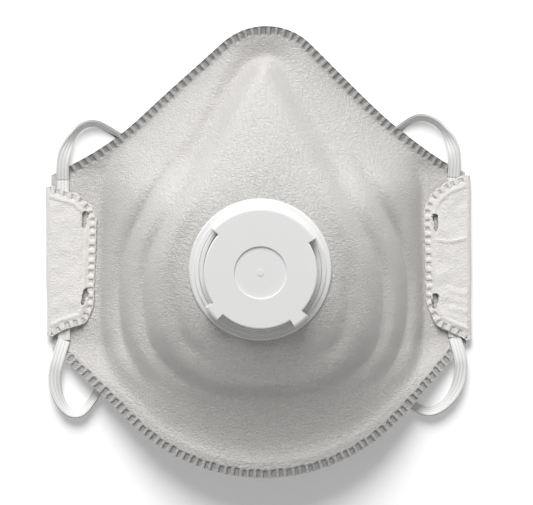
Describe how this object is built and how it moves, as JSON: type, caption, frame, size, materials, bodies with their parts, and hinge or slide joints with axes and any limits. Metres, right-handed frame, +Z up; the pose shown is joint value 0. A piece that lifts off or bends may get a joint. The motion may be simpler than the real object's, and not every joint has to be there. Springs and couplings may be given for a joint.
{
  "type": "disposable dust mask",
  "caption": "Moulded fabric dust mask with a raised centre panel, folded side ears, threaded elastic and a flap exhalation valve.",
  "frame": {"origin": "on the table, under the middle of the mask lying on its rim", "axes": "+Z up, the way the valve faces; +Y towards the nose; +X to the right with the nose up and the valve facing the viewer"},
  "size_m": [0.1336, 0.1384, 0.0526],
  "materials": {
    "cover_web": "matte fuzzy nonwoven",
    "filter": "matte melt-blown web",
    "shell": "matte stiff moulded felt",
    "lining": "matte soft nonwoven",
    "elastic": "flat braided elastic",
    "foam": "soft open foam",
    "valve_plastic": "smooth white moulding",
    "silicone": "thin silicone sheet"
  },
  "bodies": {
    "root": {"inner_lining": "lining", "support_shell": "shell", "filter_media": "filter", "outer_cover": "cover_web", "left_ear": "cover_web", "right_ear": "cover_web", "left_sleeve_band": "elastic", "right_sleeve_band": "elastic", "head_strap": "elastic", "neck_strap": "elastic", "nose_foam": "foam", "valve_base": "valve_plastic", "valve_retaining_ring": "valve_plastic", "valve_cover": "valve_plastic", "diaphragm_root": "silicone"},
    "flap": {"diaphragm_flap": "silicone"}
  },
  "joints": [
    {"name": "flap_hinge", "type": "hinge", "parent": "root", "child": "flap", "pos_m": [0.0011, 0.00613, 0.04613], "axis": [-0.9954, 0.0953, 0.01], "range_deg": [0, 9], "stiffness_Nm_per_rad": 0.0004}
  ]
}
